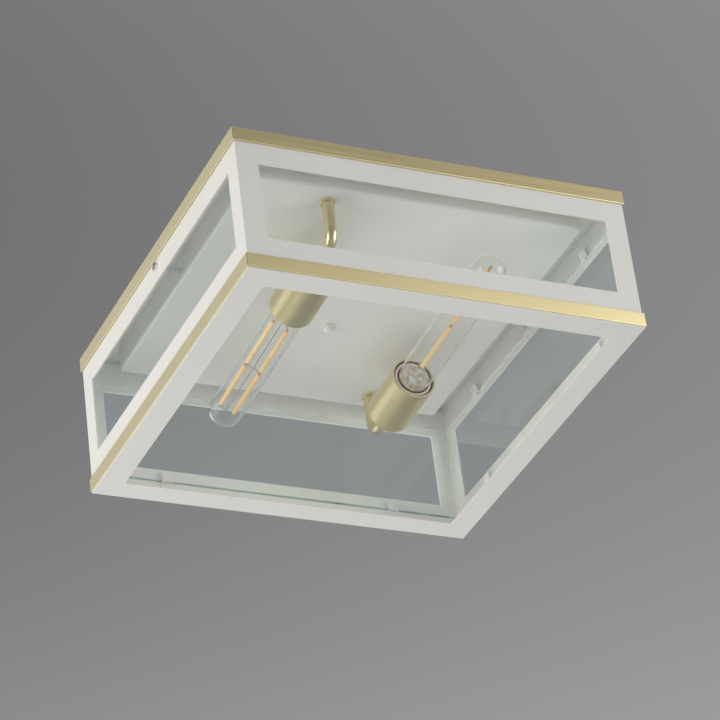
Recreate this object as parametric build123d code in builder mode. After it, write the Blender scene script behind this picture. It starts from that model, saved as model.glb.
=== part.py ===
"""Square two-lamp flush mount porch light: glazed cage, ceiling pan, arms, sockets and tube lamps.

Millimetres. The origin is the centre of the ceiling face, +Z is up, so the light hangs below z = 0.
X runs along the front and back walls, Y from the front wall to the back wall.
"""
import os

from build123d import *

os.makedirs("parts", exist_ok=True)

# Cage: four windowed walls on a bottom ring, wrapped by two brass bands
band_size = 330.0            # outside width of the square bands
band_height = 12.1
band_sheet = 1.5
band_edge = 0.5              # rounding of the bands' outer edges
band_relief = 0.7            # chamfer of the bands' inner lower edges
cage_height = 126.8
ceiling_gap = 0.4            # cage top to ceiling
wall_sheet = 1.2
stile_width = 17.4           # wall corner to window
window_drop = 30.7           # ceiling to the top of a side window
lower_rail = 29.7            # foot of a side window to the cage's lower edge
window_corner = 0.8
ring_width = 19.7            # wall corner to the bottom window
ring_sheet = 0.9
ring_inset = 0.8             # bottom ring inside the bands' outer face
ring_edge = 0.3              # rounding of the bottom ring's outer edge

# Glass panes and the clips that hold them
glass_thickness = 3.0
glass_overlap_top = 5.5      # side pane above the window
glass_overlap_bottom = 11.0  # side pane below the window
glass_clearance = 0.5        # pane edge to the wall or pane beside it
glass_seat = 0.1             # pane to the wall or ring that it lies on
clip_sheet = 0.8
clip_width = 9.0
clip_foot = 8.0
leaf_rise = 9.0              # leaf above the pane
leaf_reach = 4.6             # leaf's upper end to the wall
clip_gap = 0.1               # clip tongue to pane
upper_tongue = 1.5
lower_tongue = 7.5
side_clip_spacing = 200.4
floor_clip_spacing = 128.0
floor_clip_reach = 6.0

# Ceiling pan: a flat brim with a turned-down lip and a drawn tray
pan_sheet = 1.0
pan_clearance = 0.5          # lip to cage wall
pan_lip = 3.5
brim_width = 22.3            # tray to the pan's edge
tray_depth = 24.7
tray_corner = 3.0
tray_edge = 2.5

# Crossbar on the ceiling box, with the studs and cap nuts that carry the pan
box_hole_spacing = 88.9
box_hole_radius = 2.4
stud_spacing = 69.85
stud_skew = 3.0              # studs to the middle line of the crossbar
stud_radius = 2.08
stud_clearance = 0.05
bar_width = 22.0
bar_sheet = 1.6
bar_margin = 8.0             # hole centre to the end of the bar
bar_eye_radius = 5.2         # wire passage in the middle
hex_sides = 6
stud_nut_flats = 8.7
stud_nut_height = 3.2
cap_flange_radius = 5.8
cap_flange_height = 1.2
cap_radius = 3.8
cap_height = 5.0             # flange included
cap_bore_depth = 3.2
cap_gap = 0.5                # stud tip to the bottom of the cap nut's bore

# Ground screw through the tray
ground_x = 29.9
ground_y = 58.2
ground_radius = 1.5
ground_tip = 0.3             # tip below the tray
ground_head_radius = 4.0
ground_head_height = 2.2

# Arms: bent tubes from the tray to the back of each socket cup
arm_side = 71.9              # arm to the middle of the light, along X
arm_inset = 17.0             # arm to the tray's edge, along Y
toe_in = 2.4                 # turn of each arm towards the middle, degrees
arm_radius = 4.75
arm_wall = 1.0
arm_bend = 12.0
arm_thread = 8.0             # tube above the tray
fit_clearance = 0.05         # tube or screw in its hole
collar_radius = 6.3
collar_height = 2.2
collar_edge = 0.6
locknut_flats = 14.0
locknut_height = 4.0
socket_drop = 62.0           # ceiling to the socket axis

# Socket cup, lampholder body, screw shell and contact, measured along the socket axis
arm_to_cup = 30.2
cup_length = 57.5
cup_radius = 18.4
cup_wall = 1.4
cup_edge = 5.0
cup_nut_flats = 13.0
cup_nut_height = 3.5
body_radius = 15.5
socket_recess = 1.5          # lampholder body behind the cup's mouth
arm_entry = 2.0              # tube end inside the lampholder body
shell_sheet = 0.5
shell_recess = 2.0           # screw shell behind the lampholder's mouth
contact_radius = 5.0
contact_height = 5.0
contact_gap = 0.1            # socket contact to lamp contact

# Tube lamp with a screw base
thread_pitch = 3.629
thread_major_radius = 13.1
thread_minor_radius = 12.5
thread_turns = 5
thread_clearance = 0.1
base_bore_radius = 11.9
base_collar = 2.6            # plain rim of the base, next to the glass
base_tail = 3.0              # plain end of the base, next to the contact
base_rise = 1.5              # base rim in front of the lampholder body
eyelet_height = 4.0
eyelet_radius = 4.8
eyelet_button = 1.2
lamp_neck_radius = 12.4
lamp_radius = 14.0
lamp_taper = 14.0
lamp_tip_gap = 28.6          # lamp tip to the pane that it points at
lamp_wall = 0.9
stem_radius = 3.4
stem_length = 16.0
stem_flare = 6.0
stem_clearance = 0.05
filament_radius = 1.7
filament_offset = 6.5        # filament to the lamp's axis
filament_start = 26.0        # from the base
filament_end = 17.5          # to the lamp's tip
filament_gap = 5.0
stay_radius = 0.5            # straight wire up the middle
wire_radius = 0.35           # cross wires and lead-in wires
crimp_radius = 0.7           # joint at a filament's end
lead_in_offset = 2.0         # where a lead-in wire leaves the stem
lead_in_straight = 2.0
lead_in_bend = 1.5
tip_wire_gap = 3.0           # filament end to the cross wire at the tip
lamp_turns = {"left": 124.5, "right": -34.4}   # how far round each lamp is screwed, degrees

# Supply leads inside the arms, and their connectors in the tray
lead_radius = 2.2
lead_bend = 8.0
lead_drop = 7.5              # ceiling to the lead's run in the tray
lead_run = 40.0
connector_length = 18.0
connector_mouth = 4.6
connector_tip = 3.2

# Clamp screws through the left and right walls
screw_radius = 2.0
screw_drop = 18.0            # ceiling to the screw's axis
screw_hole_clearance = 0.25
screw_tip_gap = 0.05         # screw tip to the tray wall
screw_head_radius = 3.4
screw_head_height = 1.3
screw_head_edge = 0.5
screw_socket_radius = 1.5
screw_socket_depth = 0.9
washer_radius = 3.9
washer_sheet = 0.4
clinch_radius = 4.0
clinch_length = 4.0

# Places that several pieces share
frame_size = band_size - 2 * band_sheet
wall_inside = frame_size / 2 - wall_sheet
cage_bottom = ceiling_gap + cage_height
ring_top = cage_bottom - ring_sheet
window_foot = cage_bottom - lower_rail
window_height = window_foot - window_drop
window_width = frame_size - 2 * stile_width
pane_top = window_drop - glass_overlap_top
pane_foot = window_foot + glass_overlap_bottom
floor_pane_top = ring_top - glass_seat - glass_thickness
leaf_top = pane_top - leaf_rise
pan_size = 2 * (wall_inside - pan_clearance)
tray_size = pan_size - 2 * brim_width
tray_wall = tray_size / 2
stud_points = [(stud_skew, -stud_spacing / 2), (-stud_skew, stud_spacing / 2)]
tray_floor = tray_depth - pan_sheet

# Stations along a socket axis, from the arm's upright
cup_front = arm_to_cup + cup_length
body_rear = arm_to_cup + cup_wall + cup_nut_height
arm_end = body_rear + arm_entry
body_front = cup_front - socket_recess
base_front = body_front + base_rise
base_length = base_collar + thread_turns * thread_pitch + base_tail
base_rear = base_front - base_length
eyelet_tip = base_rear - eyelet_height
contact_floor = eyelet_tip - contact_gap - contact_height
shell_inner = thread_major_radius + thread_clearance
shell_outer = shell_inner + shell_sheet
lamp_tip = tray_wall - arm_inset + wall_inside - glass_seat - glass_thickness - lamp_tip_gap
filament_length = (lamp_tip - filament_end - base_front - filament_start - filament_gap) / 2
arm_top = socket_drop - tray_floor + arm_thread

walls = {"front": 0, "right": 90, "back": 180, "left": 270}
arm_turns = {"left": 0, "right": 180}
screw_walls = ("left", "right")
down = Vector(0, 0, -1)


def save(builder, name):
    """Label a finished piece and write its file."""
    builder.part.label = name
    export_step(builder.part, f"parts/{name}.step")


def span(x_low, y_low, x_high, y_high, mode=Mode.ADD):
    """Add a rectangle to the current sketch by two opposite corners."""
    with Locations(((x_low + x_high) / 2, (y_low + y_high) / 2)):
        Rectangle(x_high - x_low, y_high - y_low, mode=mode)


def wall_plane(turn):
    """Inner face of a cage wall: x along the wall, y down from the ceiling, normal inwards."""
    inward = Vector(0, 1, 0).rotate(Axis.Z, turn)
    along = Vector(1, 0, 0).rotate(Axis.Z, turn)
    return Plane(origin=inward * -wall_inside, x_dir=along, z_dir=inward)


def section_plane(turn, place):
    """Upright section across a cage wall: x inwards from its inner face, y down from the ceiling."""
    wall = wall_plane(turn)
    return Plane(origin=wall.origin + wall.x_dir * place, x_dir=wall.z_dir, z_dir=-wall.x_dir)


def socket_plane(side, roll=0):
    """Plane through a socket axis: x along the axis from the arm's upright, y up unless rolled."""
    turn = arm_turns[side]
    along = Vector(0, 1, 0).rotate(Axis.Z, turn - toe_in)
    foot = Vector(-arm_side, arm_inset - tray_wall, -socket_drop).rotate(Axis.Z, turn)
    normal = along.cross(-down).rotate(Axis((0, 0, 0), along), roll)
    return Plane(origin=foot, x_dir=along, z_dir=normal)


def axis_of(plane):
    """The line along a plane's x direction, to turn a profile about."""
    return Axis(plane.origin, plane.x_dir)


def upright_plane(x, y, depth):
    """Upright plane at a point below the ceiling: x outwards along X, y up."""
    return Plane(origin=(x, y, -depth), x_dir=(1, 0, 0), z_dir=(0, -1, 0))


def arm_point(side):
    """Where an arm's upright passes the ceiling plane."""
    foot = socket_plane(side).origin
    return (foot.X, foot.Y)


arm_points = [arm_point(side) for side in arm_turns]

# Ceiling pan
with BuildPart() as ceiling_pan:
    with BuildSketch():
        RectangleRounded(tray_size, tray_size, tray_corner)
    extrude(amount=-tray_depth)
    fillet(ceiling_pan.faces().sort_by(Axis.Z)[0].edges(), tray_edge)
    offset(amount=-pan_sheet, openings=ceiling_pan.faces().sort_by(Axis.Z)[-1])
    with BuildSketch():
        Rectangle(pan_size, pan_size)
        tray_mouth = tray_size - 2 * pan_sheet
        RectangleRounded(tray_mouth, tray_mouth, tray_corner - pan_sheet, mode=Mode.SUBTRACT)
    extrude(amount=-pan_sheet)
    with BuildSketch():
        Rectangle(pan_size, pan_size)
        Rectangle(pan_size - 2 * pan_sheet, pan_size - 2 * pan_sheet, mode=Mode.SUBTRACT)
    extrude(amount=-pan_lip)
    with BuildSketch(Plane.XY.offset(-tray_depth)):
        with Locations(*stud_points):
            Circle(stud_radius + stud_clearance)
        with Locations(*arm_points):
            Circle(arm_radius + fit_clearance)
        with Locations((ground_x, ground_y)):
            Circle(ground_radius + fit_clearance)
    extrude(amount=pan_sheet, mode=Mode.SUBTRACT)
save(ceiling_pan, "ceiling_pan")

# Crossbar: one arm along X for the ceiling box, one along Y for the studs
with BuildPart() as mounting_crossbar:
    with BuildSketch():
        Rectangle(box_hole_spacing + 2 * bar_margin, bar_width)
        Rectangle(bar_width, stud_spacing + 2 * bar_margin)
        Circle(bar_eye_radius, mode=Mode.SUBTRACT)
        with Locations((-box_hole_spacing / 2, 0), (box_hole_spacing / 2, 0)):
            Circle(box_hole_radius, mode=Mode.SUBTRACT)
        with Locations(*stud_points):
            Circle(stud_radius + stud_clearance, mode=Mode.SUBTRACT)
    extrude(amount=-bar_sheet)
save(mounting_crossbar, "mounting_crossbar")

# Studs, their jam nuts under the crossbar, and the cap nuts under the tray
stud_foot = tray_depth + cap_bore_depth - cap_gap
with BuildPart() as mounting_studs:
    with BuildSketch():
        with Locations(*stud_points):
            Circle(stud_radius)
    extrude(amount=-stud_foot)
save(mounting_studs, "mounting_studs")

with BuildPart() as stud_nuts:
    with BuildSketch(Plane.XY.offset(-bar_sheet)):
        with Locations(*stud_points):
            RegularPolygon(stud_nut_flats / 2, hex_sides, major_radius=False)
            Circle(stud_radius + stud_clearance, mode=Mode.SUBTRACT)
    extrude(amount=-stud_nut_height)
save(stud_nuts, "stud_nuts")

with BuildPart() as cap_nuts:
    for stud_x, stud_y in stud_points:
        cap_section = upright_plane(stud_x, stud_y, tray_depth)
        with BuildSketch(cap_section):
            with BuildLine():
                dome = [(cap_radius, -cap_flange_height), (0, -cap_height)]
                Polyline(
                    (stud_radius + stud_clearance, 0), (cap_flange_radius, 0),
                    (cap_flange_radius, -cap_flange_height), dome[0],
                )
                Spline(*dome, tangents=[(0, -1), (-1, 0)])
                Polyline(
                    (0, -cap_height), (0, -cap_bore_depth),
                    (stud_radius + stud_clearance, -cap_bore_depth), (stud_radius + stud_clearance, 0),
                )
            make_face()
        revolve(axis=Axis(cap_section.origin, (0, 0, 1)))
save(cap_nuts, "cap_nuts")

# Ground screw, head inside the tray and tip just through it
with BuildPart() as ground_screw:
    with BuildSketch(Plane.XY.offset(-tray_floor)):
        with Locations((ground_x, ground_y)):
            RegularPolygon(ground_head_radius, hex_sides)
    extrude(amount=ground_head_height)
    with BuildSketch(Plane.XY.offset(-tray_floor)):
        with Locations((ground_x, ground_y)):
            Circle(ground_radius)
    extrude(amount=-pan_sheet - ground_tip)
save(ground_screw, "ground_screw")

# Collars under the tray and locknuts inside it, one of each on every arm
with BuildPart() as arm_collars:
    with BuildSketch(Plane.XY.offset(-tray_depth)):
        with Locations(*arm_points):
            Circle(collar_radius)
    extrude(amount=-collar_height)
    chamfer(arm_collars.faces().group_by(Axis.Z)[0].edges(), collar_edge)
    with BuildSketch(Plane.XY.offset(-tray_depth)):
        with Locations(*arm_points):
            Circle(arm_radius + fit_clearance)
    extrude(amount=-collar_height, mode=Mode.SUBTRACT)
save(arm_collars, "arm_collars")

with BuildPart() as arm_locknuts:
    with BuildSketch(Plane.XY.offset(-tray_floor)):
        with Locations(*arm_points):
            RegularPolygon(locknut_flats / 2, hex_sides, major_radius=False)
            Circle(arm_radius + fit_clearance, mode=Mode.SUBTRACT)
    extrude(amount=locknut_height)
save(arm_locknuts, "arm_locknuts")

# Arms, leads, sockets and lamps, one set on each side
for side in arm_turns:
    axial = socket_plane(side)
    across = Plane(origin=axial.origin, x_dir=axial.y_dir, z_dir=axial.x_dir)
    socket_axis = axis_of(axial)

    with BuildPart() as arm:
        with BuildLine(axial) as arm_route:
            FilletPolyline((0, arm_top), (0, 0), (arm_end, 0), radius=arm_bend)
        with BuildSketch(Plane(origin=arm_route.line @ 0, z_dir=arm_route.line % 0)):
            Circle(arm_radius)
            Circle(arm_radius - arm_wall, mode=Mode.SUBTRACT)
        sweep()
    save(arm, f"{side}_arm")

    with BuildPart() as lead:
        lead_rise = socket_drop - lead_drop
        with BuildLine(axial) as lead_route:
            FilletPolyline(
                (arm_end, 0), (0, 0), (0, lead_rise), (lead_run, lead_rise),
                radius=[arm_bend, lead_bend],
            )
        with BuildSketch(Plane(origin=lead_route.line @ 0, z_dir=lead_route.line % 0)):
            Circle(lead_radius)
        sweep()
    save(lead, f"{side}_lead")

    with BuildPart() as connector:
        with BuildSketch(axial):
            with Locations((0, lead_rise)):
                Polygon(
                    (lead_run, 0), (lead_run, connector_mouth),
                    (lead_run + connector_length, connector_tip), (lead_run + connector_length, 0),
                    align=None,
                )
        revolve(axis=Axis(axial.origin + axial.y_dir * lead_rise, axial.x_dir))
    save(connector, f"{side}_wire_connector")

    with BuildPart() as cup:
        with BuildSketch(across.offset(arm_to_cup)):
            Circle(cup_radius)
        extrude(amount=cup_length)
        fillet(cup.faces().sort_by(socket_axis)[0].edges(), cup_edge)
        offset(amount=-cup_wall, openings=cup.faces().sort_by(socket_axis)[-1])
        with BuildSketch(across.offset(arm_to_cup)):
            Circle(arm_radius + fit_clearance)
        extrude(amount=cup_wall, mode=Mode.SUBTRACT)
    save(cup, f"{side}_socket_cup")

    with BuildPart() as cup_nut:
        with BuildSketch(across.offset(arm_to_cup + cup_wall)):
            RegularPolygon(cup_nut_flats / 2, hex_sides, major_radius=False)
            Circle(arm_radius + fit_clearance, mode=Mode.SUBTRACT)
        extrude(amount=cup_nut_height)
    save(cup_nut, f"{side}_cup_nut")

    with BuildPart() as holder:
        with BuildSketch(axial):
            span(body_rear, 0, body_front, body_radius)
            span(body_rear, 0, arm_end, arm_radius + fit_clearance, mode=Mode.SUBTRACT)
            span(contact_floor, 0, body_front, shell_outer, mode=Mode.SUBTRACT)
        revolve(axis=socket_axis)
    save(holder, f"{side}_lampholder")

    with BuildPart() as shell:
        with BuildSketch(axial):
            span(base_rear, shell_inner, body_front - shell_recess, shell_outer)
        revolve(axis=socket_axis)
    save(shell, f"{side}_screw_shell")

    with BuildPart() as contact:
        with BuildSketch(across.offset(contact_floor)):
            Circle(contact_radius)
        extrude(amount=contact_height)
    save(contact, f"{side}_socket_contact")

    with BuildPart() as base:
        with BuildSketch(axial):
            with BuildLine():
                thread_start = base_rear + base_tail
                ridge = [(base_rear, thread_minor_radius)]
                for turn in range(thread_turns):
                    root = thread_start + turn * thread_pitch
                    ridge.append((root, thread_minor_radius))
                    ridge.append((root + thread_pitch / 2, thread_major_radius))
                ridge.append((base_front - base_collar, thread_minor_radius))
                ridge.append((base_front, thread_minor_radius))
                Polyline(
                    *ridge, (base_front, base_bore_radius), (base_rear, base_bore_radius), close=True,
                )
            make_face()
        revolve(axis=socket_axis)
    save(base, f"{side}_lamp_base")

    with BuildPart() as insulator:
        with BuildSketch(axial):
            eyelet_seat = eyelet_tip + eyelet_button
            Polygon(
                (base_rear, 0), (base_rear, thread_minor_radius), (eyelet_seat, eyelet_radius),
                (eyelet_seat, 0), align=None,
            )
        revolve(axis=socket_axis)
    save(insulator, f"{side}_lamp_insulator")

    with BuildPart() as eyelet:
        with BuildSketch(across.offset(eyelet_tip)):
            Circle(eyelet_radius)
        extrude(amount=eyelet_button)
    save(eyelet, f"{side}_lamp_contact")

    with BuildPart() as glass:
        with BuildSketch(axial):
            for wall, mode in ((0, Mode.ADD), (lamp_wall, Mode.SUBTRACT)):
                with BuildLine(mode=Mode.PRIVATE) as outline:
                    neck = (base_front, lamp_neck_radius - wall)
                    shoulder = (base_front + lamp_taper, lamp_radius - wall)
                    cap = (lamp_tip - lamp_radius, lamp_radius - wall)
                    tip = (lamp_tip - wall, 0)
                    Spline(neck, shoulder, tangents=[(1, 0), (1, 0)])
                    Line(shoulder, cap)
                    RadiusArc(cap, tip, lamp_radius - wall)
                    Polyline(tip, (base_front, 0), neck)
                make_face(outline.edges(), mode=mode)
        revolve(axis=socket_axis)
    save(glass, f"{side}_lamp_glass")

    # Stem, filaments and their wires lie in a plane rolled with the lamp
    rolled = socket_plane(side, lamp_turns[side])
    rolled_across = Plane(origin=rolled.origin, x_dir=rolled.y_dir, z_dir=rolled.x_dir)
    stem_top = base_front + stem_length
    near_start = base_front + filament_start
    far_start = near_start + filament_length + filament_gap
    filament_points = [(-filament_offset, 0), (filament_offset, 0)]

    with BuildPart() as stem:
        with BuildSketch(rolled):
            flare_radius = lamp_neck_radius - lamp_wall - stem_clearance
            Polygon(
                (base_front, 0), (base_front, flare_radius), (base_front + stem_flare, stem_radius),
                (stem_top, stem_radius), (stem_top, 0), align=None,
            )
        revolve(axis=axis_of(rolled))
    save(stem, f"{side}_lamp_stem")

    with BuildPart() as filaments:
        for start in (near_start, far_start):
            with BuildSketch(rolled_across.offset(start)):
                with Locations(*filament_points):
                    Circle(filament_radius)
            extrude(amount=filament_length)
    save(filaments, f"{side}_lamp_filaments")

    with BuildPart() as wires:
        tip_wire = far_start + filament_length + tip_wire_gap
        mid_wire = far_start - filament_gap / 2
        with BuildSketch(rolled_across.offset(stem_top)):
            Circle(stay_radius)
        extrude(amount=tip_wire + stay_radius - stem_top)
        for station, low, high in (
            (mid_wire, far_start - filament_gap, far_start),
            (tip_wire, far_start + filament_length, tip_wire + crimp_radius),
        ):
            with BuildSketch(rolled_across.offset(low)):
                with Locations(*filament_points):
                    Circle(crimp_radius)
            extrude(amount=high - low)
            with BuildSketch(Plane(rolled.origin + rolled.x_dir * station, rolled.x_dir, rolled.y_dir)):
                Circle(wire_radius)
            extrude(amount=filament_offset, both=True)
        for place in (-1, 1):
            with BuildLine(rolled) as lead_in:
                FilletPolyline(
                    (stem_top, place * lead_in_offset),
                    (stem_top + lead_in_straight, place * lead_in_offset),
                    (near_start - lead_in_straight, place * filament_offset),
                    (near_start, place * filament_offset), radius=lead_in_bend,
                )
            with BuildSketch(Plane(origin=lead_in.line @ 0, z_dir=lead_in.line % 0)):
                Circle(wire_radius)
            sweep()
    save(wires, f"{side}_lamp_wires")

# Cage walls, each with one window; the front and back walls cover the ends of the other two
for side, turn in walls.items():
    full = side in ("front", "back")
    with BuildPart() as panel:
        panel_width = frame_size if full else frame_size - 2 * wall_sheet
        with BuildSketch(wall_plane(turn)):
            span(-panel_width / 2, ceiling_gap, panel_width / 2, ring_top)
            with Locations((0, window_drop + window_height / 2)):
                RectangleRounded(window_width, window_height, window_corner, mode=Mode.SUBTRACT)
            if side in screw_walls:
                with Locations((0, screw_drop)):
                    Circle(screw_radius + screw_hole_clearance, mode=Mode.SUBTRACT)
        extrude(amount=-wall_sheet)
    save(panel, f"{side}_panel")

    with BuildPart() as pane:
        pane_half = wall_inside - glass_clearance
        if not full:
            pane_half -= glass_seat + glass_thickness
        with BuildSketch(wall_plane(turn).offset(glass_seat)):
            span(-pane_half, pane_top, pane_half, pane_foot)
        extrude(amount=glass_thickness)
    save(pane, f"{side}_glass")

# Bottom ring and the pane that lies on it
with BuildPart() as bottom_ring:
    with BuildSketch(Plane.XY.offset(-ring_top)):
        ring_size = band_size - 2 * ring_inset
        Rectangle(ring_size, ring_size)
    extrude(amount=-ring_sheet)
    fillet(bottom_ring.edges().filter_by(Axis.Z), band_edge)
    fillet(bottom_ring.faces().sort_by(Axis.Z)[0].edges(), ring_edge)
    with BuildSketch(Plane.XY.offset(-ring_top)):
        bottom_window = frame_size - 2 * ring_width
        RectangleRounded(bottom_window, bottom_window, window_corner)
    extrude(amount=-ring_sheet, mode=Mode.SUBTRACT)
save(bottom_ring, "bottom_ring")

with BuildPart() as bottom_glass:
    with BuildSketch(Plane.XY.offset(glass_seat - ring_top)):
        floor_pane = 2 * (wall_inside - glass_clearance)
        Rectangle(floor_pane, floor_pane)
    extrude(amount=glass_thickness)
save(bottom_glass, "bottom_glass")

# Brass bands round the top and bottom of the cage
for name, band_top in (("upper_band", ceiling_gap), ("lower_band", ring_top - band_height)):
    with BuildPart() as band:
        with BuildSketch(Plane.XY.offset(-band_top)):
            Rectangle(band_size, band_size)
        extrude(amount=-band_height)
        fillet(band.edges(), band_edge)
        with BuildSketch(Plane.XY.offset(-band_top)):
            Rectangle(frame_size, frame_size)
        extrude(amount=-band_height, mode=Mode.SUBTRACT)
        chamfer(band.faces().sort_by(Axis.Z)[0].inner_wires()[0].edges(), band_relief)
    save(band, name)

# Clips that hold the side panes, above and below each window
tongue = glass_seat + glass_thickness + clip_gap
with BuildPart() as side_clips:
    for turn in walls.values():
        for place in (-side_clip_spacing / 2, side_clip_spacing / 2):
            with BuildSketch(section_plane(turn, place)):
                Polygon(
                    (0, pane_top), (clip_sheet, pane_top),
                    (leaf_reach, leaf_top), (leaf_reach - clip_sheet, leaf_top), align=None,
                )
                span(0, pane_top - clip_sheet, tongue + clip_sheet, pane_top)
                span(tongue, pane_top - clip_sheet, tongue + clip_sheet, pane_top + upper_tongue)
                span(0, pane_foot, clip_sheet, pane_foot + clip_foot)
                span(0, pane_foot, tongue + clip_sheet, pane_foot + clip_sheet)
                span(tongue, pane_foot - lower_tongue, tongue + clip_sheet, pane_foot + clip_sheet)
            extrude(amount=clip_width / 2, both=True)
save(side_clips, "side_glass_clips")

# Clips that hold the bottom pane down on the ring
with BuildPart() as floor_clips:
    for turn in walls.values():
        for place in (-floor_clip_spacing / 2, floor_clip_spacing / 2):
            with BuildSketch(section_plane(turn, place)):
                span(0, floor_pane_top - clip_foot, clip_sheet, floor_pane_top)
                span(0, floor_pane_top - clip_sheet, floor_clip_reach, floor_pane_top)
            extrude(amount=clip_width / 2, both=True)
save(floor_clips, "bottom_glass_clips")

# Clamp screws, their washers and the clinch nuts inside the left and right walls
with BuildPart() as clinch_nuts:
    for side in screw_walls:
        with BuildSketch(wall_plane(walls[side])):
            with Locations((0, screw_drop)):
                Circle(clinch_radius)
                Circle(screw_radius + fit_clearance, mode=Mode.SUBTRACT)
        extrude(amount=clinch_length)
save(clinch_nuts, "clinch_nuts")

for side in screw_walls:
    wall = wall_plane(walls[side])

    with BuildPart() as washer:
        with BuildSketch(wall.offset(-wall_sheet)):
            with Locations((0, screw_drop)):
                Circle(washer_radius)
                Circle(screw_radius + fit_clearance, mode=Mode.SUBTRACT)
        extrude(amount=-washer_sheet)
    save(washer, f"{side}_screw_washer")

    with BuildPart() as screw:
        head_seat = wall.offset(-wall_sheet - washer_sheet)
        head_top = wall.offset(-wall_sheet - washer_sheet - screw_head_height)
        with BuildSketch(head_seat):
            with Locations((0, screw_drop)):
                Circle(screw_head_radius)
        extrude(amount=-screw_head_height)
        fillet(screw.faces().sort_by(Axis(wall.origin, wall.z_dir))[0].edges(), screw_head_edge)
        with BuildSketch(head_top):
            with Locations((0, screw_drop)):
                RegularPolygon(screw_socket_radius, hex_sides)
        extrude(amount=screw_socket_depth, mode=Mode.SUBTRACT)
        with BuildSketch(head_seat):
            with Locations((0, screw_drop)):
                Circle(screw_radius)
        extrude(amount=washer_sheet + wall_sheet + wall_inside - tray_wall - screw_tip_gap)
    save(screw, f"{side}_cage_screw")
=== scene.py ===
"""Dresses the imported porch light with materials, lights it and sets the camera."""

import bpy
from mathutils import Matrix, Vector

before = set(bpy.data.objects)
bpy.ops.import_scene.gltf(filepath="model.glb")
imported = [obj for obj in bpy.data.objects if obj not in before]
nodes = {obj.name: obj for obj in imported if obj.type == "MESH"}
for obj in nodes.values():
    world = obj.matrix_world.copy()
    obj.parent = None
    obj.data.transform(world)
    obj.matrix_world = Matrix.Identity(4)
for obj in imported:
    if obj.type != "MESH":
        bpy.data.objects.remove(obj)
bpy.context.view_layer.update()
scene = bpy.context.scene

# Pieces that come in sets; each wall has the axis that lies across its pane
SIDES = ("left", "right")
WALLS = {"front": (0, 1, 0), "right": (1, 0, 0), "back": (0, 1, 0), "left": (1, 0, 0)}
BANDS = ("upper_band", "lower_band")
RAILS = ("right_panel", "back_panel", "side_glass_clips")

# Linear colours
BRASS = ((0.74, 0.63, 0.33), (0.77, 0.66, 0.36))
PANE_CLEAR = (0.965, 1.0, 0.995)
PANE_EDGE = (0.16, 0.34, 0.27)
FLOOR_GREY = (0.62, 0.62, 0.61)
AMBIENT = (0.94, 1.0, 1.05)

# Noise: the part of its range that is spread out, its detail and its waves per metre
NOISE_LOW, NOISE_HIGH = 0.3, 0.7
FINE_DETAIL, DETAIL, STREAK_DETAIL = 2.0, 3.0, 4.0
COAT_MOTTLE, COAT_SHEEN, COAT_PEEL = 14, 60, 900
METAL_MOTTLE = 9
PLASTIC_MOTTLE, PLASTIC_GRAIN = 120, 1500
# The stem's waves space out its painted reflection
STEM_SHEEN_WAVES = 330

# Surfaces: relief in metres, spread of roughness and index of refraction
GRAIN_DEPTH, STREAK_DEPTH = 0.00002, 0.000006
COAT_SPREAD, METAL_SPREAD = 0.05, 0.06
LACQUER_ROUGHNESS = 0.3
STEM_ROUGHNESS, STEM_CLEAR = 0.25, 0.45
LAMP_IOR, PANE_IOR, STEM_IOR = 1.3, 1.4, 1.5

# Studio, in metres
FLOOR_Z, FLOOR_REACH, FLOOR_ROUGHNESS = -3, 15, 0.8
LAMP_AIM = Vector((0, 0, -0.06))
AMBIENT_STRENGTH = 0.45

# Camera fitted to the photograph: its axes, its place in metres and its lens in millimetres
RIGHT = Vector((0.908895, -0.401728, -0.111912))
DOWN = Vector((0.129688, 0.527335, -0.839702))
AHEAD = Vector((0.396347, 0.748687, 0.531392))
CAMERA_PLACE = (-1.10358, -2.09105, -1.56247)
FOCAL_LENGTH, SENSOR_WIDTH = 177.84, 36.0

# Backdrop: grey in the middle, its slopes to the right and down, its bend downwards, and how far they reach
SHADE_MIDDLE, SHADE_RIGHT, SHADE_DOWN, SHADE_BEND = 0.217, 0.357, 0.388, 4.3
SHADE_REACH = 0.11
PAINTED_GLASS_SHEEN = 0.08  # how much paler it is through glass: a painted reflection of the studio on the glass


# Shader helpers

def new_material(name, base, roughness, metallic=0.0):
    """A material with one Principled shader; returns the material, its tree and the shader."""
    mat = bpy.data.materials.new(name)
    mat.use_nodes = True
    tree = mat.node_tree
    tree.nodes.clear()
    shader = tree.nodes.new("ShaderNodeBsdfPrincipled")
    shader.inputs["Base Color"].default_value = (*base, 1)
    shader.inputs["Roughness"].default_value = roughness
    shader.inputs["Metallic"].default_value = metallic
    out = tree.nodes.new("ShaderNodeOutputMaterial")
    tree.links.new(shader.outputs["BSDF"], out.inputs["Surface"])
    return mat, tree, shader


def noise(tree, waves, detail=DETAIL):
    """Noise over the object's own coordinates; waves per metre are one number, or one for each axis."""
    coords = tree.nodes.new("ShaderNodeTexCoord")
    mapping = tree.nodes.new("ShaderNodeMapping")
    mapping.inputs["Scale"].default_value = waves if isinstance(waves, tuple) else (waves,) * 3
    texture = tree.nodes.new("ShaderNodeTexNoise")
    texture.inputs["Scale"].default_value = 1.0
    texture.inputs["Detail"].default_value = detail
    tree.links.new(coords.outputs["Object"], mapping.inputs["Vector"])
    tree.links.new(mapping.outputs["Vector"], texture.inputs["Vector"])
    return texture.outputs["Fac"]


def vary(tree, factor, socket, middle, spread):
    """Feed a number socket from a factor, by a spread to either side of a middle."""
    scale = tree.nodes.new("ShaderNodeMapRange")
    scale.inputs["From Min"].default_value = NOISE_LOW
    scale.inputs["From Max"].default_value = NOISE_HIGH
    scale.inputs["To Min"].default_value = middle - spread
    scale.inputs["To Max"].default_value = middle + spread
    tree.links.new(factor, scale.inputs["Value"])
    tree.links.new(scale.outputs["Result"], socket)


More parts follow.
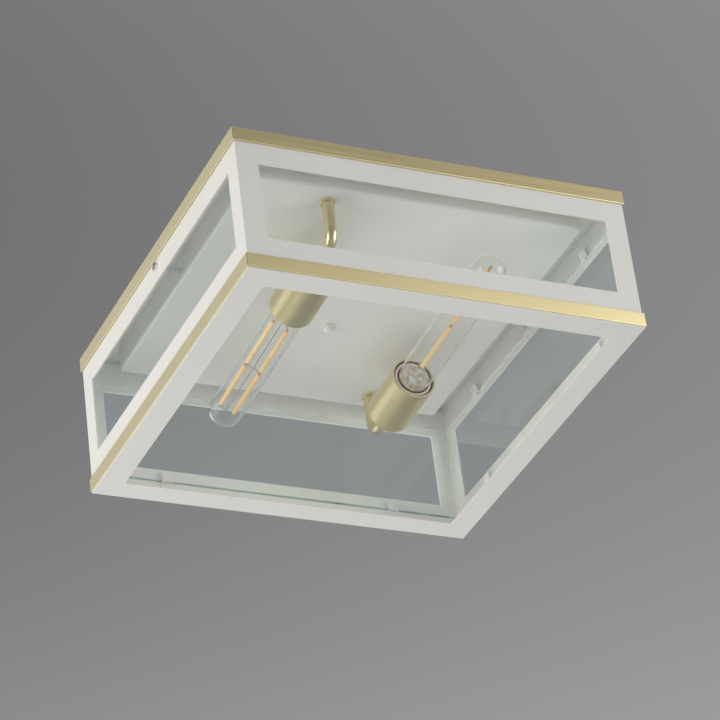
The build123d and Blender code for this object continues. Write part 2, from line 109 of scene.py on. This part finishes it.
def tint(tree, factor, socket, low, high):
    """Feed a colour socket from a factor, between two colours."""
    ramp = tree.nodes.new("ShaderNodeValToRGB")
    for stop, place, colour in zip(ramp.color_ramp.elements, (NOISE_LOW, NOISE_HIGH), (low, high)):
        stop.position = place
        stop.color = (*colour, 1)
    tree.links.new(factor, ramp.inputs["Fac"])
    tree.links.new(ramp.outputs["Color"], socket)


def bump(tree, factor, shader, depth):
    """Add fine relief of the given depth in metres."""
    relief = tree.nodes.new("ShaderNodeBump")
    relief.inputs["Strength"].default_value = 1.0
    relief.inputs["Distance"].default_value = depth
    tree.links.new(factor, relief.inputs["Height"])
    tree.links.new(relief.outputs["Normal"], shader.inputs["Normal"])


def coat(name, low, high, roughness):
    """Powder coat, glaze or cement: a little mottling and orange peel."""
    mat, tree, shader = new_material(name, high, roughness)
    tint(tree, noise(tree, COAT_MOTTLE), shader.inputs["Base Color"], low, high)
    vary(tree, noise(tree, COAT_SHEEN), shader.inputs["Roughness"], roughness, COAT_SPREAD)
    bump(tree, noise(tree, COAT_PEEL, FINE_DETAIL), shader, GRAIN_DEPTH)
    return mat


def metal(name, low, high, roughness, waves):
    """Bare or plated metal with fine streaks, which lie across the axis with the most waves."""
    mat, tree, shader = new_material(name, high, roughness, 1.0)
    streaks = noise(tree, waves, STREAK_DETAIL)
    tint(tree, noise(tree, METAL_MOTTLE), shader.inputs["Base Color"], low, high)
    vary(tree, streaks, shader.inputs["Roughness"], roughness, METAL_SPREAD)
    bump(tree, streaks, shader, STREAK_DEPTH)
    return mat


def lacquered(name, roughness, waves):
    """Satin brass under a clear lacquer, which pales it at a glance."""
    mat = metal(name, *BRASS, roughness, waves)
    shader = next(n for n in mat.node_tree.nodes if n.type == "BSDF_PRINCIPLED")
    shader.inputs["Coat Weight"].default_value = 1.0
    shader.inputs["Coat Roughness"].default_value = LACQUER_ROUGHNESS
    return mat


def plastic(name, low, high, roughness):
    """Moulded plastic, coated wire or phosphor with a fine grain."""
    mat, tree, shader = new_material(name, high, roughness)
    tint(tree, noise(tree, PLASTIC_MOTTLE), shader.inputs["Base Color"], low, high)
    bump(tree, noise(tree, PLASTIC_GRAIN, FINE_DETAIL), shader, GRAIN_DEPTH)
    return mat


def glass(name, base, ior):
    """Clear glass; returns the material, its tree and the shader."""
    mat, tree, shader = new_material(name, base, 0.0)
    shader.inputs["IOR"].default_value = ior
    shader.inputs["Transmission Weight"].default_value = 1.0
    return mat, tree, shader


def pane(name, axis):
    """Float glass: clear through its faces, which lie across axis, and dark green at its cut edges."""
    mat, tree, shader = glass(name, PANE_CLEAR, PANE_IOR)
    coords = tree.nodes.new("ShaderNodeTexCoord")
    facing = tree.nodes.new("ShaderNodeVectorMath")
    facing.operation = "DOT_PRODUCT"
    facing.inputs[1].default_value = axis
    tree.links.new(coords.outputs["Normal"], facing.inputs[0])
    flat = tree.nodes.new("ShaderNodeMath")
    flat.operation = "ABSOLUTE"
    tree.links.new(facing.outputs["Value"], flat.inputs[0])
    tint(tree, flat.outputs["Value"], shader.inputs["Base Color"], PANE_EDGE, PANE_CLEAR)
    return mat


def sheen_painted_glass(name, low, high):
    """Partly clear glass, mottled brown and white: the white is painted reflection, and the brown is the
    lamp base behind it, painted on.
    """
    mat, tree, shader = glass(name, high, STEM_IOR)
    shader.inputs["Roughness"].default_value = STEM_ROUGHNESS
    shader.inputs["Transmission Weight"].default_value = STEM_CLEAR
    tint(tree, noise(tree, STEM_SHEEN_WAVES, FINE_DETAIL), shader.inputs["Base Color"], low, high)
    return mat


# Materials: name, colours of the mottling, roughness, waves of the streaks

white = coat("white_coat", (0.77, 0.752, 0.709), (0.79, 0.772, 0.729), 0.42)
porcelain = coat("porcelain", (0.72, 0.64, 0.58), (0.76, 0.68, 0.62), 0.3)
cement = coat("base_cement", (0.80, 0.56, 0.36), (0.84, 0.60, 0.40), 0.6)
band_brass = lacquered("band_brass", 0.36, (6, 6, 900))
cup_brass = lacquered("cup_brass", 0.42, (40, 900, 40))
arm_brass = lacquered("arm_brass", 0.34, 300)
zinc = metal("zinc_steel", (0.70, 0.71, 0.72), (0.76, 0.77, 0.78), 0.42, 200)
nickel = metal("nickel_wire", (0.42, 0.41, 0.38), (0.48, 0.47, 0.44), 0.4, 200)
copper = metal("copper_shell", (0.58, 0.40, 0.23), (0.64, 0.45, 0.27), 0.42, (60, 700, 60))
jacket = plastic("lead_jacket", (0.012, 0.012, 0.012), (0.02, 0.02, 0.02), 0.45)
tan = plastic("connector_tan", (0.50, 0.27, 0.06), (0.56, 0.31, 0.08), 0.4)
phosphor = plastic("phosphor", (0.94, 0.59, 0.23), (0.98, 0.65, 0.28), 0.6)
lamp_glass = glass("lamp_glass", (0.985, 0.988, 0.985), LAMP_IOR)[0]
# The stem's white mottling is painted reflection; its brown is the lamp base behind it, painted on
stem_glass = sheen_painted_glass("stem_glass", (0.45, 0.31, 0.12), (0.94, 0.98, 0.96))

finish = {
    "ceiling_pan": white, "cap_nuts": white, "bottom_ring": white, "side_glass_clips": white,
    "bottom_glass_clips": white, "mounting_crossbar": zinc, "mounting_studs": zinc, "stud_nuts": zinc,
    "arm_locknuts": zinc, "clinch_nuts": zinc, "ground_screw": white, "arm_collars": arm_brass,
    "upper_band": band_brass, "lower_band": band_brass, "bottom_glass": pane("floor_pane", (0, 0, 1)),
}
for wall, axis in WALLS.items():
    finish[f"{wall}_panel"] = white
    finish[f"{wall}_glass"] = pane(f"{wall}_pane", axis)
for side in SIDES:
    for piece, mat in (
        ("arm", arm_brass), ("lead", jacket), ("wire_connector", tan), ("socket_cup", cup_brass),
        ("cup_nut", zinc), ("lampholder", porcelain), ("screw_shell", copper), ("socket_contact", copper),
        ("lamp_base", copper), ("lamp_insulator", cement), ("lamp_contact", copper),
        ("lamp_glass", lamp_glass), ("lamp_stem", stem_glass), ("lamp_filaments", phosphor),
        ("lamp_wires", nickel), ("screw_washer", white), ("cage_screw", zinc),
    ):
        finish[f"{side}_{piece}"] = mat
for name, obj in nodes.items():
    obj.data.materials.clear()
    obj.data.materials.append(finish[name])
    if name.endswith(("_glass", "_stem")):
        # Light reaches the metal inside as if the glass were not there
        obj.visible_shadow = obj.visible_diffuse = obj.visible_glossy = False


# Studio: a pale floor well below the light, soft lamps and a grey backdrop

floor_mesh = bpy.data.meshes.new("floor")
corners = [(x * FLOOR_REACH, y * FLOOR_REACH, FLOOR_Z) for x, y in ((-1, -1), (1, -1), (1, 1), (-1, 1))]
floor_mesh.from_pydata(corners, [], [(0, 1, 2, 3)])
floor = bpy.data.objects.new("floor", floor_mesh)
scene.collection.objects.link(floor)
floor_mesh.materials.append(new_material("pale_floor", FLOOR_GREY, FLOOR_ROUGHNESS)[0])


def soft_lamp(name, place, size, power, colour=(1, 1, 1), gloss=True, lit=(), shadow=True):
    """A square soft box that faces the porch light.

    It is placed and sized in metres, with its power in watts. It shows in shiny surfaces if gloss is set.
    If lit names any pieces, it lights only those.
    """
    data = bpy.data.lights.new(name, "AREA")
    data.size = size
    data.energy = power
    data.color = colour
    data.use_shadow = shadow
    lamp = bpy.data.objects.new(name, data)
    lamp.location = place
    lamp.rotation_euler = (LAMP_AIM - Vector(place)).to_track_quat("-Z", "Y").to_euler()
    lamp.visible_camera = False
    lamp.visible_glossy = gloss
    lamp.visible_transmission = False
    scene.collection.objects.link(lamp)
    if lit:
        group = bpy.data.collections.new(name)
        for piece in lit:
            group.objects.link(nodes[piece])
        lamp.light_linking.receiver_collection = group


# Lamps for the whole scene
soft_lamp("key_left", (-2.3, -0.5, -0.32), 1.2, 25, (1.0, 0.96, 0.885))
soft_lamp("fill_right", (1.2, -1.1, -0.28), 0.9, 11.6, (1.0, 0.96, 0.9))
soft_lamp("under", (-0.6, 0.9, -0.7), 1.4, 6.6, gloss=False)
soft_lamp("below", (0.25, 0.45, -1.15), 0.6, 1.6, gloss=False)
soft_lamp("front_low", (0.4, -0.9, -0.7), 0.8, 0.7, gloss=False)
soft_lamp("glint", (-0.75, 0.6, -1.3), 1.0, 3.2)
soft_lamp("back_left", (-1.3, 1.5, -0.3), 1.6, 7)
# Lamps for the far rails, for the sheen of two panes and for the brass bands
soft_lamp("rails", (-1.1, -1.1, -0.24), 0.5, 3.4, (0.84, 1.0, 1.04), gloss=False, lit=RAILS, shadow=False)
soft_lamp("left_sheen", (-0.76, 1.12, 0.74), 1.6, 1.6, (0.7, 0.95, 1.0), lit=("left_glass",))
soft_lamp("front_sheen", (0.59, -1.29, 0.74), 1.6, 2.5, (0.4, 0.92, 1.0), lit=("front_glass",))
soft_lamp("band_front", (0.31, -0.705, -0.04), 0.62, 1.1, lit=BANDS)
soft_lamp("band_right", (0.57, -0.6, 0.02), 0.3, 0.63, lit=BANDS)
soft_lamp("band_left", (-0.52, 0.48, 0.36), 0.8, 0.9, lit=BANDS)

world = bpy.data.worlds.new("studio")
scene.world = world
world.use_nodes = True
sky = world.node_tree
sky.nodes.clear()
ray = sky.nodes.new("ShaderNodeTexCoord").outputs["Generated"]


def number(operation, *values):
    """A math node of the world; values are numbers or sockets."""
    node = sky.nodes.new("ShaderNodeMath")
    node.operation = operation
    for socket, value in zip(node.inputs, values):
        if isinstance(value, bpy.types.NodeSocket):
            sky.links.new(value, socket)
        else:
            socket.default_value = value
    return node.outputs["Value"]


def across(direction):
    """How far a ray points along a direction, kept to just past the photograph's edges."""
    dot = sky.nodes.new("ShaderNodeVectorMath")
    dot.operation = "DOT_PRODUCT"
    dot.inputs[1].default_value = direction
    sky.links.new(ray, dot.inputs[0])
    return number("MINIMUM", number("MAXIMUM", dot.outputs["Value"], -SHADE_REACH), SHADE_REACH)


# Grey backdrop, lighter to the right and below, darkest just above the middle
along, below = across(RIGHT), across(DOWN)
slope = number("MULTIPLY_ADD", along, SHADE_RIGHT, number("MULTIPLY_ADD", below, SHADE_DOWN, SHADE_MIDDLE))
shade = number("MULTIPLY_ADD", number("MULTIPLY", below, below), SHADE_BEND, slope)
path = sky.nodes.new("ShaderNodeLightPath").outputs
# The backdrop is paler through glass, a painted reflection of the studio on the glass
painted_glass_sheen = number("MULTIPLY_ADD", path["Is Transmission Ray"], PAINTED_GLASS_SHEEN, 1.0)
backdrop = sky.nodes.new("ShaderNodeBackground")
backdrop.inputs["Color"].default_value = (1, 1, 1, 1)
sky.links.new(number("MULTIPLY", shade, painted_glass_sheen), backdrop.inputs["Strength"])

# The backdrop is what the camera sees, also in mirrors and through glass; the ambient light does the rest
ambient = sky.nodes.new("ShaderNodeBackground")
ambient.inputs["Color"].default_value = (*AMBIENT, 1)
ambient.inputs["Strength"].default_value = AMBIENT_STRENGTH
direct = number("MAXIMUM", path["Is Camera Ray"], path["Is Glossy Ray"])
seen = number("MAXIMUM", direct, path["Is Transmission Ray"])
mix = sky.nodes.new("ShaderNodeMixShader")
sky.links.new(seen, mix.inputs["Fac"])
sky.links.new(ambient.outputs["Background"], mix.inputs[1])
sky.links.new(backdrop.outputs["Background"], mix.inputs[2])
out = sky.nodes.new("ShaderNodeOutputWorld")
sky.links.new(mix.outputs["Shader"], out.inputs["Surface"])

# Camera from below
lens = bpy.data.cameras.new("camera")
lens.sensor_width = SENSOR_WIDTH
lens.lens = FOCAL_LENGTH
camera = bpy.data.objects.new("camera", lens)
turn = Matrix((RIGHT, -DOWN, -AHEAD)).transposed()
camera.matrix_world = Matrix.Translation(CAMERA_PLACE) @ turn.to_4x4()
scene.collection.objects.link(camera)
scene.camera = camera
scene.view_settings.view_transform = "Standard"
